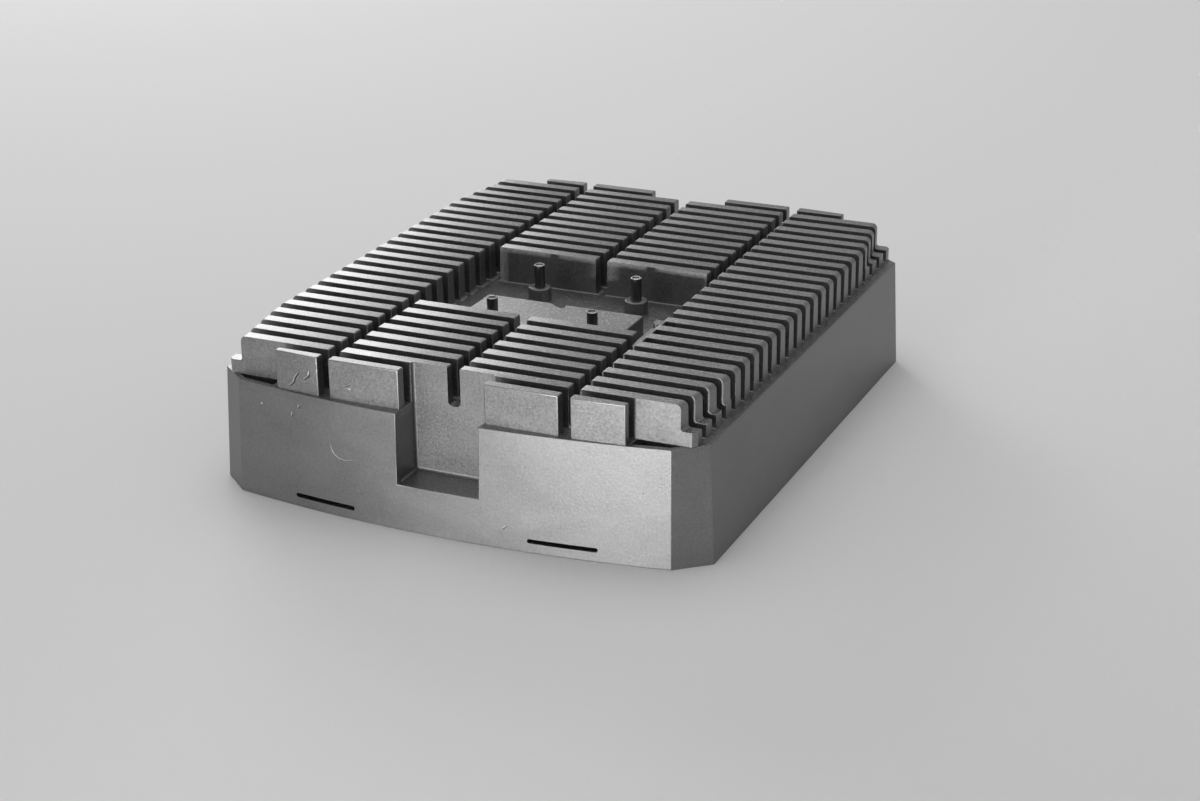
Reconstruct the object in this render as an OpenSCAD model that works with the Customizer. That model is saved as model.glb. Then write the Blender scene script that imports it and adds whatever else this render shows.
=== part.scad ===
// Die-cast heat sink housing: a finned deck in an open-bottomed shell.
// X is the width, Y the depth with the bowed front at -Y, Z is up.
// The origin is the centre of the footprint at the bottom rim.

/* [Shell] */
// Height of the wall rim and of the deck above the bottom rim
deck_z = 47.9; // [40:1:60]
// Half width of the shell across the side walls, at the rim
side_x = 104.8; // [98:0.5:112]
// Half width of the bowed front and back walls, at the rim
bow_x = 92.9; // [88:0.5:96]
// Angle of the corner walls from the width direction, in degrees
facet_a = 40; // [36:1:46]
// How far the middle of a bowed wall stands out from its ends
bow = 8.4; // [2:0.2:12]
// From the end of the fin field out to the ends of a bowed wall
bow_gap = 5.8; // [5:0.1:8]
// Draft of the outside faces, in degrees from upright
draft = 2.4; // [0.5:0.1:3]
// Wall thickness at the rim
wall = 2.5; // [2:0.1:3]
// Thickness of the deck plate
deck_t = 3.5; // [2.5:0.5:5]

/* [Fins] */
// Fin pitch from front to back
pitch = 10; // [9:0.5:12]
// Fin thickness at the top
fin_t = 5; // [3:0.1:6]
// Fin thickness added at the root by the draft
fin_flare = 0.7; // [0.2:0.1:1.5]
// Fin height above the deck
fin_h = 16; // [12:0.5:24]
// Rows of fins from front to back
rows = 24; // [20:1:28]
// Width of the middle channel
mid_gap = 5.4; // [4:0.1:8]
// Width of the two side channels
side_gap = 4.9; // [4:0.1:8]
// Length of a fin in the two inner columns
inner_w = 46.35; // [40:0.05:48]
// Half width over the outer fins and their feet
foot_x = 100.6; // [99.5:0.1:101]
// How far the outer ends draw in towards the corner
corner_cut = 6.2; // [3:0.1:8]
// Length from front to back over which they draw in
corner_run = 37.6; // [31:0.1:39]
// Height above the deck of the foot that stays out there
foot_h = 5.6; // [3:0.1:8]
// Cut across the outer corner of the foot of an end row
foot_cut = 1.8; // [1:0.1:3]
// Rounding of the outer fin ends at the top
tip_r = 2.3; // [1:0.1:4]
// Fillet at the root of a fin end
root_r = 2; // [1:0.1:3]
// Fillet along the root of a fin's long sides
side_r = 0.8; // [0.3:0.1:1.2]

/* [Bay] */
// Fin rows in front of the bay in the inner columns
front_rows = 7; // [5:1:8]
// Fin rows that the bay leaves out
bay_rows = 7; // [5:1:8]
// Height of the raised pad above the deck
pad_h = 8; // [4:0.5:12]
// Half width of the pad
pad_x = 35.8; // [30:0.2:44]
// From the last fin in front of the bay to the pad
pad_gap = 4; // [2:0.5:8]
// Spacing of the four standoffs
post_sp = 45.4; // [40:0.2:50]
// Outside diameter of a standoff
post_d = 4.6; // [4:0.1:6]
// Diameter of the tapped hole in a standoff
post_bore = 2.5; // [2:0.1:3]
// Depth of the tapped hole
post_depth = 7; // [4:0.5:8]
// Diameter of the collar round a rear standoff
collar_d = 10; // [8:0.5:12]
// Height of that collar above the deck
collar_h = 5.9; // [3:0.1:10]
// Thickness of the web along the channel ends of two fins beside the bay
web_t = 2.3; // [1.5:0.1:4]
// How far the web stands out into the channel
web_out = 0.9; // [0.5:0.1:3]
// How far the lug behind the web stands out into the channel
lug_out = 2.9; // [2:0.1:5]

/* [Front] */
// Half width of the recess in the middle of the front wall
recess_x = 17.7; // [12:0.1:24]
// Height of the recess floor above the bottom rim
recess_z = 18.9; // [14:0.5:30]
// How far the recess cuts back into the first fin
recess_set = 1.2; // [0.4:0.1:2]
// Half distance between the two inner front blocks
block_in = 18.3; // [17.8:0.1:26]
// Half distance over the two outer front blocks
block_out = 73.6; // [65:0.1:74]
// Outer end of the outer right block, which is a little longer
long_out = 75.8; // [65:0.1:76.4]
// Thickness of a front block from front to back
block_t = 4.4; // [3:0.1:5]
// Gap between a front block and the first fin
block_gap = 5; // [3:0.1:6]
// How far the outer end of an outer block is set back
block_slant = 1.3; // [0:0.1:2]
// Length of the straight part of its face at the inner end
block_flat = 3.3; // [1:0.1:6]
// Where the corner pockets start, as a half width
pocket_x = 77; // [76.5:0.5:85]
// Inner end of a slot near the bottom of the front wall
slot_in = 37.5; // [30:0.2:45]
// Outer end of a slot
slot_out = 65.6; // [55:0.2:80]
// Height of the slot's middle line above the bottom rim
slot_z = 4.8; // [4:0.1:8]
// Height of a slot
slot_h = 1.8; // [1:0.1:3]

/* [Underside] */
// Diameter of a cover boss
boss_d = 9; // [8:0.5:12]
// Diameter of the tapped hole in a cover boss
boss_bore = 3.3; // [2.5:0.1:4.2]
// Depth of that hole
boss_depth = 12; // [8:1:20]
// Half spacing of the corner bosses across the width
boss_x = 93; // [80:0.5:94]
// Half spacing of the corner bosses from front to back
boss_y = 98; // [80:1:100]

/* [Hidden] */
$fn = 48;
cast_grey = [0.63, 0.63, 0.64];
pale_grey = [0.72, 0.72, 0.73];
dark_grey = [0.42, 0.42, 0.43];
top_z = deck_z + fin_h;
// Front face of the first fin, and the ends of the bowed walls
field_y = (rows * pitch - (pitch - fin_t)) / 2;
bow_y = field_y + bow_gap;
// The pockets end flush with the root of the first fin, the recess a
// little behind its face
face_y = field_y + fin_flare / 2;
recess_y = field_y - recess_set;
// The corner walls run at their angle from the bowed walls to the sides
side_y = bow_y - (side_x - bow_x) * tan(facet_a);
bow_r = (bow_x * bow_x + bow * bow) / (2 * bow);
bow_c = bow_r - bow - bow_y;
flare = deck_z * tan(draft);
facet_d = bow_x * sin(facet_a) + bow_y * cos(facet_a);
col_a = mid_gap / 2;
col_b = col_a + inner_w;
col_c = col_b + side_gap;
foot_d = (foot_x + face_y - foot_cut) / sqrt(2);
// Rows at each end of the field whose outer ends are drawn in
drawn_rows = ceil(corner_run / pitch);
draw_a = atan(corner_cut / corner_run);
bay_y0 = -field_y + (front_rows - 1) * pitch + fin_t;
bay_y1 = -field_y + (front_rows + bay_rows) * pitch;
bay_c = (bay_y0 + bay_y1) / 2;
big = 400;

// y of the front face of fin row i, counted from 1 at the front
function fin_y(i) = -field_y + (i - 1) * pitch;
// points of a quarter circle about [cx, cy] from angle a0 to a1
function arc(cx, cy, r, a0, a1, n = 6) =
    [for (k = [0 : n]) [cx + r * cos(a0 + (a1 - a0) * k / n),
        cy + r * sin(a0 + (a1 - a0) * k / n)]];

// Convex body inside all the outer faces, moved in by d, with the
// draft flare f added towards the bottom
module body_shape(d, f, h) {
    intersection() {
        translate([0, bow_c, 0]) cylinder(h = h, r1 = bow_r - d + f, r2 = bow_r - d, $fn = 720);
        translate([0, -bow_c, 0]) cylinder(h = h, r1 = bow_r - d + f, r2 = bow_r - d, $fn = 720);
        slab(side_x - d, f, h);
        rotate([0, 0, 90 - facet_a]) slab(facet_d - d, f, h);
        rotate([0, 0, facet_a - 90]) slab(facet_d - d, f, h);
    }
}

// Slab across X with drafted faces
module slab(hx, f, h) {
    rotate([90, 0, 0])
        linear_extrude(2 * big, center = true)
            polygon([[-hx - f, 0], [hx + f, 0], [hx, h], [-hx, h]]);
}

// Each wall comes from its own face pair, and the sectors below part it
// from its neighbours
module bowed_shell() {
    translate([0, bow_c, 0])
        difference() {
            cylinder(h = deck_z, r1 = bow_r + flare, r2 = bow_r, $fn = 720);
            translate([0, 0, -1]) cylinder(h = deck_z + 2, r = bow_r - wall, $fn = 720);
        }
}

module flat_shell(hx) {
    difference() {
        slab(hx, flare, deck_z);
        translate([0, 0, -1]) slab(hx - wall, 0, deck_z + 2);
    }
}

// Half plane wedges that part the shell at its corner edges
bow_a = asin(bow_x / bow_r);
mitre_a = [sin(bow_a) + sin(facet_a), -cos(bow_a) - cos(facet_a)];
mitre_a1 = mitre_a / norm(mitre_a);
mitre_b = [cos(45 - facet_a / 2), -sin(45 - facet_a / 2)];
p1 = [bow_x, -bow_y];
p2 = [side_x, -side_y];

module front_sector() {
    translate([0, 0, -1])
        linear_extrude(deck_z + 2)
            polygon([p1 + 30 * mitre_a1, p1 - 12 * mitre_a1,
                [-p1[0], p1[1]] - 12 * [-mitre_a1[0], mitre_a1[1]],
                [-p1[0], p1[1]] + 30 * [-mitre_a1[0], mitre_a1[1]]]);
}

module corner_sector() {
    translate([0, 0, -1])
        linear_extrude(deck_z + 2)
            polygon([p1 + 30 * mitre_a1, p2 + 30 * mitre_b,
                p2 - 12 * mitre_b, p1 - 12 * mitre_a1]);
}

module side_sector() {
    translate([0, 0, -1])
        linear_extrude(deck_z + 2)
            polygon([p2 + 30 * mitre_b, [p2[0], -p2[1]] + 30 * [mitre_b[0], -mitre_b[1]],
                [p2[0], -p2[1]] - 12 * [mitre_b[0], -mitre_b[1]], p2 - 12 * mitre_b]);
}

// Slot with round ends through the front wall
module wall_slot(x0, x1) {
    translate([0, -bow_y + 5, slot_z])
        rotate([90, 0, 0]) {
            translate([x0 + slot_h / 2, 0, 0]) cylinder(h = 40, d = slot_h);
            translate([x1 - slot_h / 2, 0, 0]) cylinder(h = 40, d = slot_h);
            translate([x0 + slot_h / 2, -slot_h / 2, 0]) cube([x1 - x0 - slot_h, slot_h, 40]);
        }
}

module front_wall() {
    color(cast_grey)
        difference() {
            intersection() {
                bowed_shell();
                front_sector();
            }
            translate([-recess_x, -big, recess_z]) cube([2 * recess_x, big, big]);
            wall_slot(slot_in, slot_out);
            wall_slot(-slot_out, -slot_in);
        }
}

module back_wall() {
    color(cast_grey)
        mirror([0, 1, 0])
            intersection() {
                bowed_shell();
                front_sector();
            }
}

module side_wall() {
    color(cast_grey)
        intersection() {
            flat_shell(side_x);
            side_sector();
        }
}

module right_wall() {
    side_wall();
}

module left_wall() {
    mirror([1, 0, 0]) side_wall();
}

module corner_wall() {
    color(cast_grey)
        intersection() {
            rotate([0, 0, facet_a - 90]) flat_shell(facet_d);
            corner_sector();
        }
}

module front_right_corner_wall() {
    corner_wall();
}

module front_left_corner_wall() {
    mirror([1, 0, 0]) corner_wall();
}

module back_right_corner_wall() {
    mirror([0, 1, 0]) corner_wall();
}

module back_left_corner_wall() {
    rotate([0, 0, 180]) corner_wall();
}

// Space of one front right corner pocket, in front of the fin field
module pocket_space(z0, z1) {
    translate([pocket_x, -big, z0]) cube([big, big - face_y, z1 - z0]);
}

module recess_space(z0, z1) {
    translate([-recess_x, -big, z0]) cube([2 * recess_x, big - recess_y, z1 - z0]);
}

module four_corners() {
    children();
    mirror([1, 0, 0]) children();
    mirror([0, 1, 0]) children();
    rotate([0, 0, 180]) children();
}

module deck() {
    color(cast_grey)
        difference() {
            translate([0, 0, deck_z - deck_t]) body_shape(wall, 0, deck_t);
            four_corners() pocket_space(0, 100);
            recess_space(0, 100);
        }
}

module inside(z0, z1) {
    translate([0, 0, z0]) body_shape(wall, 0, z1 - z0);
}

// The recess and the pockets are lined by plates as thick as the wall
module recess_back_wall() {
    color(cast_grey)
        translate([-recess_x - wall, -recess_y, recess_z - wall])
            cube([2 * (recess_x + wall), wall, deck_z - deck_t - recess_z + wall]);
}

module recess_cheeks() {
    color(cast_grey)
        for (s = [0, 1])
            mirror([s, 0, 0])
                intersection() {
                    inside(recess_z - wall, deck_z - deck_t);
                    translate([recess_x, -big, 0]) cube([wall, big - recess_y, big]);
                }
}

module recess_floor() {
    color(cast_grey)
        intersection() {
            inside(recess_z - wall, recess_z);
            recess_space(0, 100);
        }
}

module pocket_back_walls() {
    color(cast_grey)
        four_corners()
            intersection() {
                inside(recess_z - wall, deck_z - deck_t);
                translate([pocket_x - wall, -face_y, 0]) cube([big, wall, big]);
            }
}

module pocket_side_walls() {
    color(cast_grey)
        four_corners()
            intersection() {
                inside(recess_z - wall, deck_z - deck_t);
                translate([pocket_x - wall, -big, 0]) cube([wall, big - face_y, big]);
            }
}

module pocket_floors() {
    color(cast_grey)
        four_corners()
            intersection() {
                inside(recess_z - wall, recess_z);
                pocket_space(0, 100);
            }
}

// Blocks of row 0, one gap in front of the first fin
module block_inner() {
    translate([block_in, -field_y - block_gap - block_t, deck_z])
        cube([col_b - block_in, block_t, fin_h]);
}

module block_outer(x1) {
    translate([0, 0, deck_z])
        linear_extrude(fin_h)
            polygon([[col_c, -field_y - block_gap],
                [col_c, -field_y - block_gap - block_t],
                [col_c + block_flat, -field_y - block_gap - block_t],
                [x1, -field_y - block_gap - block_t + block_slant],
                [x1, -field_y - block_gap]]);
}

module front_block_inner_right() {
    color(pale_grey) block_inner();
}

module front_block_inner_left() {
    color(pale_grey) mirror([1, 0, 0]) block_inner();
}

module front_block_outer_right() {
    color(pale_grey) block_outer(long_out);
}

module front_block_outer_left() {
    color(pale_grey) mirror([1, 0, 0]) block_outer(block_out);
}

module back_block_inner_right() {
    color(pale_grey) mirror([0, 1, 0]) block_inner();
}

module back_block_inner_left() {
    color(pale_grey) rotate([0, 0, 180]) block_inner();
}

module back_block_outer_right() {
    color(pale_grey) mirror([0, 1, 0]) block_outer(long_out);
}

module back_block_outer_left() {
    color(pale_grey) rotate([0, 0, 180]) block_outer(block_out);
}

// Section of a drafted fin, filleted at the root on both sides except where
// the first and the last row stand flush over the recess and the pockets
function fin_section(i) = concat(
    i == 1 ? [[-fin_flare / 2, 0]]
        : arc(-fin_flare / 2 - side_r, side_r, side_r, -90, 0, 3),
    [[0, fin_h], [fin_t, fin_h]],
    i == rows ? [[fin_t + fin_flare / 2, 0]]
        : arc(fin_t + fin_flare / 2 + side_r, side_r, side_r, 180, 270, 3));

// Bars of fin rows i0 to i1
module fin_bars(i0, i1, x0, x1) {
    for (i = [i0 : i1])
        translate([x0, fin_y(i), deck_z])
            rotate([90, 0, 90])
                linear_extrude(x1 - x0) polygon(fin_section(i));
}

// Side view of a fin end at a channel: rounded top, filleted root
function end_left(x) = concat(arc(x - root_r, root_r, root_r, -90, 0),
    arc(x + 0.6, fin_h - 0.6, 0.6, 180, 90, 4));
function end_right(x) = concat(arc(x - 0.6, fin_h - 0.6, 0.6, 90, 0, 4),
    arc(x + root_r, root_r, root_r, 180, 270));
// Side view of an outer fin end with its tip rounded, its face at x = 0
function end_tip() = concat([[-big, 0], [-big, fin_h]],
    arc(-tip_r, fin_h - tip_r, tip_r, 90, 0));
// The same end drawn in, with a foot that stays out
function end_foot() = concat(end_tip(), arc(1, foot_h + 1, 1, 180, 270, 4),
    [[big, foot_h], [big, 0]]);

// Keeps what lies inside a side view, all along the field
module along(points) {
    translate([0, 0, deck_z])
        rotate([90, 0, 0])
            linear_extrude(2 * big, center = true) polygon(points);
}

module inner_fins(i0, i1) {
    color(pale_grey)
        difference() {
            intersection() {
                fin_bars(i0, i1, 0, col_b + 10);
                along(concat(end_left(col_a), end_right(col_b)));
            }
            if (i0 == 1) recess_space(deck_z - 1, top_z + 1);
        }
}

module outer_rows(i0, i1) {
    intersection() {
        fin_bars(i0, i1, 0, foot_x);
        along(concat(end_left(col_c), [[big, fin_h], [big, 0]]));
        if (i0 <= drawn_rows)
            translate([foot_x - corner_cut, -field_y, 0])
                rotate([0, 0, -draw_a]) along(end_foot());
        else
            translate([foot_x, 0, 0]) along(concat(end_tip(), [[0, 0]]));
    }
}

module outer_fins() {
    color(pale_grey)
        difference() {
            union() {
                for (s = [0, 1])
                    mirror([0, s, 0]) outer_rows(1, drawn_rows);
                outer_rows(drawn_rows + 1, rows - drawn_rows);
            }
            // the outer corners of the end rows' feet are cut off at 45 degrees
            for (s = [0, 1])
                mirror([0, s, 0])
                    rotate([0, 0, -45])
                        translate([foot_d, -big, 0]) cube([big, 2 * big, big]);
        }
}

module outer_right_fins() {
    outer_fins();
}

module outer_left_fins() {
    mirror([1, 0, 0]) outer_fins();
}

module inner_right_front_fins() {
    inner_fins(1, front_rows);
}

module inner_left_front_fins() {
    mirror([1, 0, 0]) inner_fins(1, front_rows);
}

module inner_right_back_fins() {
    inner_fins(front_rows + bay_rows + 1, rows);
}

module inner_left_back_fins() {
    mirror([1, 0, 0]) inner_fins(front_rows + bay_rows + 1, rows);
}

// Web that joins the channel ends of the last two fins in front of the bay,
// and a lug between the next two, both standing out into the channel
module fin_web() {
    y0 = fin_y(front_rows - 1);
    y1 = fin_y(front_rows) + fin_t;
    xi = col_c - web_out + web_t;
    color(pale_grey)
        difference() {
            translate([0, 0, deck_z + root_r])
                linear_extrude(fin_h - root_r) {
                    polygon([[col_c - 0.3, y0], [col_c - web_out, y0 + 6],
                        [col_c - web_out, y1 + 4], [col_c - web_out + 0.6, y1 + 5.5],
                        [xi, y1 + 5.5], [xi, y0]]);
                    polygon([[col_c - lug_out, y1 + 11.5], [col_c - lug_out + 1.5, y1 + pitch],
                        [xi, y1 + pitch], [xi, y1 + 2 * pitch - fin_t],
                        [col_c - lug_out, y1 + 2 * pitch - fin_t]]);
                }
            outer_rows(front_rows - 1, front_rows + 2);
        }
}

module bay_pad() {
    color(pale_grey)
        translate([0, 0, deck_z])
            linear_extrude(pad_h)
                polygon([[-pad_x, bay_y0 + pad_gap], [pad_x, bay_y0 + pad_gap],
                    [pad_x, bay_c], [0.5, bay_c], [1.2, bay_c - 3.7],
                    [-0.5, bay_c - 4], [-6.5, bay_c], [-pad_x, bay_c]]);
}

// Tapped post standing on z0, its top flush with the fins
module standoff(x, y, z0) {
    translate([x, y, 0])
        difference() {
            translate([0, 0, z0]) cylinder(h = top_z - z0, d = post_d);
            translate([0, 0, top_z - post_depth]) cylinder(h = post_depth + 1, d = post_bore);
        }
}

module front_standoffs() {
    color(dark_grey)
        for (s = [-1, 1]) standoff(s * post_sp / 2, bay_c - post_sp / 2, deck_z + pad_h);
}

module rear_standoffs() {
    color(dark_grey)
        for (s = [-1, 1]) standoff(s * post_sp / 2, bay_c + post_sp / 2, deck_z);
}

module standoff_collars() {
    color(pale_grey)
        for (s = [-1, 1])
            translate([s * post_sp / 2, bay_c + post_sp / 2, deck_z])
                difference() {
                    cylinder(h = collar_h, d = collar_d);
                    translate([0, 0, -1]) cylinder(h = collar_h + 2, d = post_d);
                }
}

// Tapped posts under the deck that take the screws of a bottom cover
module cover_boss(x, y) {
    translate([x, y, 0])
        difference() {
            cylinder(h = deck_z - deck_t, d = boss_d);
            translate([0, 0, -1]) cylinder(h = boss_depth + 1, d = boss_bore);
        }
}

module cover_bosses() {
    color(cast_grey) {
        four_corners() cover_boss(boss_x, -boss_y);
        cover_boss(boss_x, 0);
        cover_boss(-boss_x, 0);
    }
}

front_wall();
back_wall();
left_wall();
right_wall();
front_left_corner_wall();
front_right_corner_wall();
back_left_corner_wall();
back_right_corner_wall();
deck();
recess_back_wall();
recess_cheeks();
recess_floor();
pocket_back_walls();
pocket_side_walls();
pocket_floors();
front_block_outer_left();
front_block_inner_left();
front_block_inner_right();
front_block_outer_right();
back_block_outer_left();
back_block_inner_left();
back_block_inner_right();
back_block_outer_right();
outer_left_fins();
inner_left_front_fins();
inner_left_back_fins();
inner_right_front_fins();
inner_right_back_fins();
outer_right_fins();
fin_web();
bay_pad();
front_standoffs();
rear_standoffs();
standoff_collars();
cover_bosses();
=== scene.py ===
import math

import bmesh
import bpy
from mathutils import Matrix, Vector


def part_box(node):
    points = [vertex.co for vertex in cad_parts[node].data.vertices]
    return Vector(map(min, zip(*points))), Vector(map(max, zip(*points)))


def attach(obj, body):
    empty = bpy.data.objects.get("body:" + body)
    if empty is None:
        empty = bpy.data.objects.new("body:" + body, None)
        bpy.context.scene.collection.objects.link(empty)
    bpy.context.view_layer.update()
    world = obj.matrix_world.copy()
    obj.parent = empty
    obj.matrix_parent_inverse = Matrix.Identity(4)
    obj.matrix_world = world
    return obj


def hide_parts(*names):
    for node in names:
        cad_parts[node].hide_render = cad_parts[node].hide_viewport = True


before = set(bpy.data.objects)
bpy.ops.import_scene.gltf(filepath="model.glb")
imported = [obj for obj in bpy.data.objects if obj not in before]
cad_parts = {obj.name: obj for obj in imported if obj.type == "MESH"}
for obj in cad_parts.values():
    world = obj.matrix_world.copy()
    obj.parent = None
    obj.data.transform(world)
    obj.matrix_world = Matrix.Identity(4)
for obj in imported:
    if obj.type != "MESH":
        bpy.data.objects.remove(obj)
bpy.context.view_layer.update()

# Camera
# The camera stands in front of the housing, a little to its right and above
# it, where the photograph was taken from. Its three angles are in degrees.
CAMERA_PLACE = Vector((0.38351876, -0.82845817, 0.37829889))
CAMERA_AZIMUTH, CAMERA_ELEVATION, CAMERA_ROLL = 24.340167, 22.149491, -0.632010
scene = bpy.context.scene
camera_data = bpy.data.cameras.new("camera")
camera_data.sensor_width = 36.0
camera_data.lens = 68.093
camera_data.clip_start = 0.01
camera = bpy.data.objects.new("camera", camera_data)
camera.matrix_world = (Matrix.Translation(CAMERA_PLACE)
                       @ Matrix.Rotation(math.radians(CAMERA_AZIMUTH), 4, "Z")
                       @ Matrix.Rotation(math.radians(90 - CAMERA_ELEVATION), 4, "X")
                       @ Matrix.Rotation(math.radians(CAMERA_ROLL), 4, "Z"))
scene.collection.objects.link(camera)
scene.camera = camera

# Shell walls
# The walls are one aluminium casting with drafted faces, shot-blasted to an
# even grey grain. Each wall is a piece here, with its outer edges rounded as
# a die leaves them and its joints with the next wall left sharp and closed.
RIM_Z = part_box("deck")[1].z
DRAFT = math.radians(2.4)
CORNER_TURN = math.radians(40)
BOW_END_X, BOW_END_Y, SIDE_X = 0.0929, -0.1233, 0.1048
BOW_END = Vector((BOW_END_X, BOW_END_Y))
SIDE_END = Vector((SIDE_X, BOW_END_Y + (SIDE_X - BOW_END_X) * math.tan(CORNER_TURN)))
BOW_DEPTH = 0.0084
BOW_RADIUS = (BOW_END.x ** 2 + BOW_DEPTH ** 2) / (2 * BOW_DEPTH)
BOW_CENTRE_Y = BOW_RADIUS - BOW_DEPTH + BOW_END.y
WALL_THICK = 0.0025
EDGE_ROUND = 0.0004
CORNER_ROUND = 0.0011
# Where three flat cuts stand on a corner's round, as shares of its half angle
CORNER_CUTS = (-0.55, 0.0, 0.55)
SLOT_ROUND = 0.00022
SLOT_LOW_Z, SLOT_HIGH_Z = 0.0038, 0.0062
SLOT_NEAR_X, SLOT_FAR_X = 0.03, 0.07
# How far off a level or a plane a point may lie and still count as on it
SAME_LEVEL = 1e-5
ON_PLANE = 1e-4
# How far inside a wall's outer face an edge still counts as an outer one
OUTER_BAND = 0.001


def add_node(tree, kind, inputs=(), **settings):
    """A shader node with its settings, and its inputs given or linked."""
    made = tree.nodes.new(kind)
    for key, value in settings.items():
        setattr(made, key, value)
    for key, value in dict(inputs).items():
        if isinstance(value, bpy.types.NodeSocket):
            tree.links.new(value, made.inputs[key])
        else:
            made.inputs[key].default_value = value
    return made


def maths(tree, operation, a, b=0.0, clamp=False):
    made = add_node(tree, "ShaderNodeMath", {0: a, 1: b}, operation=operation, use_clamp=clamp)
    return made.outputs[0]


def noise(tree, where, **values):
    """A noise pattern, read at the places that where gives."""
    return add_node(tree, "ShaderNodeTexNoise", {"Vector": where, **values}).outputs[0]


def blend_colours(tree, factor, first, second):
    """A Mix node for colours. Its sockets are told apart by their places."""
    made = add_node(tree, "ShaderNodeMix", data_type="RGBA")
    for socket, value in ((0, factor), (6, first), (7, second)):
        if isinstance(value, bpy.types.NodeSocket):
            tree.links.new(value, made.inputs[socket])
        else:
            made.inputs[socket].default_value = value
    return made.outputs[2]


def bump(tree, strength, distance, height):
    made = add_node(tree, "ShaderNodeBump",
                    {"Strength": strength, "Distance": distance, "Height": height})
    return made.outputs[0]


def object_place(tree):
    return tree.nodes.new("ShaderNodeTexCoord").outputs["Object"]


def grey(value, warmth=0.0):
    """A neutral grey in linear light, a touch warmer or colder."""
    return (value * (1 + warmth), value, value * (1 - warmth), 1.0)


def new_group(name, inputs, outputs):
    """A node group whose sockets all carry numbers, with its two end nodes."""
    group = bpy.data.node_groups.new(name, "ShaderNodeTree")
    for way, labels in (("INPUT", inputs), ("OUTPUT", outputs)):
        for label in labels:
            group.interface.new_socket(name=label, in_out=way, socket_type="NodeSocketFloat")
    return group, group.nodes.new("NodeGroupInput"), group.nodes.new("NodeGroupOutput")


def blasted_grain_group():
    """The grain that shot-blasting leaves: fine dimples, coarser dents."""
    group, enter, leave = new_group("blasted_grain", ("Depth",), ("Height", "Speckle"))
    fine_share, coarse_share, mean = 0.6, 0.8, 0.7
    where = object_place(group)
    fine = noise(group, where, Scale=1900.0, Detail=1.0, Roughness=0.5)
    coarse = noise(group, where, Scale=1050.0, Detail=1.0, Roughness=0.5)
    both = maths(group, "ADD", maths(group, "MULTIPLY", fine, fine_share),
                 maths(group, "MULTIPLY", coarse, coarse_share))
    group.links.new(maths(group, "MULTIPLY", both, enter.outputs["Depth"]),
                    leave.inputs["Height"])
    group.links.new(maths(group, "SUBTRACT", both, mean), leave.inputs["Speckle"])
    return group


def flow_cloud_group():
    """The faint clouding that metal flow leaves on a casting's skin."""
    group, enter, leave = new_group("flow_cloud", ("Strength",), ("Cloud",))
    mean = 0.5
    drawn = add_node(group, "ShaderNodeMapping",
                     {"Vector": object_place(group), "Rotation": (0.0, 0.35, 0.0),
                      "Scale": (26.0, 26.0, 60.0)})
    swirl = noise(group, drawn.outputs[0], Scale=1.0, Detail=4.0, Roughness=0.55,
                  Distortion=0.6)
    group.links.new(maths(group, "MULTIPLY", maths(group, "SUBTRACT", swirl, mean),
                          enter.outputs["Strength"]), leave.inputs["Cloud"])
    return group


def edge_polish_group():
    """Rounded edges come out of the blast brighter, and the cast skin also paints them brighter
    as a painted highlight; the noise breaks them up.
    """
    group, enter, leave = new_group("edge_polish", ("Amount",), ("Mask",))
    patch_gain = 1.6
    edge = add_node(group, "ShaderNodeAttribute", attribute_name="rounded_edge")
    patches = noise(group, object_place(group), Scale=210.0, Detail=3.0, Roughness=0.6)
    worn = maths(group, "MULTIPLY", edge.outputs["Fac"],
                 maths(group, "MULTIPLY", patches, patch_gain), clamp=True)
    group.links.new(maths(group, "MULTIPLY", worn, enter.outputs["Amount"]),
                    leave.inputs["Mask"])
    return group


def top_lift_and_painted_glint_group():
    """Faces that look up took the blast squarely, so their grain is deeper; single grains on
    them are painted brighter, a painted glint."""
    group, enter, leave = new_group("top_lift_and_painted_glint", ("Speckle", "Amount"), ("Mask", "Lift"))
    least_up, up_gain, most_lift = 0.9, 10.0, 0.8
    grain_gain, grain_least = 7.0, 0.25
    normal = group.nodes.new("ShaderNodeNewGeometry").outputs["Normal"]
    upward = add_node(group, "ShaderNodeSeparateXYZ", {0: normal}).outputs[2]
    facing = maths(group, "MULTIPLY", maths(group, "SUBTRACT", upward, least_up), up_gain,
                   clamp=True)
    strong = maths(group, "MULTIPLY", enter.outputs["Speckle"], grain_gain)
    grains = maths(group, "SUBTRACT", strong, grain_least, clamp=True)
    group.links.new(maths(group, "MULTIPLY", maths(group, "MULTIPLY", facing, grains),
                          enter.outputs["Amount"]), leave.inputs["Mask"])
    group.links.new(maths(group, "ADD", maths(group, "MULTIPLY", facing, most_lift), 1.0),
                    leave.inputs["Lift"])
    return group


GRAIN = blasted_grain_group()
CLOUD = flow_cloud_group()
POLISH = edge_polish_group()
TOP_LIFT_AND_PAINTED_GLINT = top_lift_and_painted_glint_group()


def use_group(tree, group, **values):
    made = tree.nodes.new("ShaderNodeGroup")
    made.node_tree = group
    for key, value in values.items():
        made.inputs[key].default_value = value
    return made


def new_material(name, metallic):
    """A material and its shader. Metallic is 0 for paper, 1 for bare metal."""
    material = bpy.data.materials.new(name)
    material.use_nodes = True
    shader = material.node_tree.nodes["Principled BSDF"]
    shader.inputs["Metallic"].default_value = metallic
    return material, shader


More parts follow.
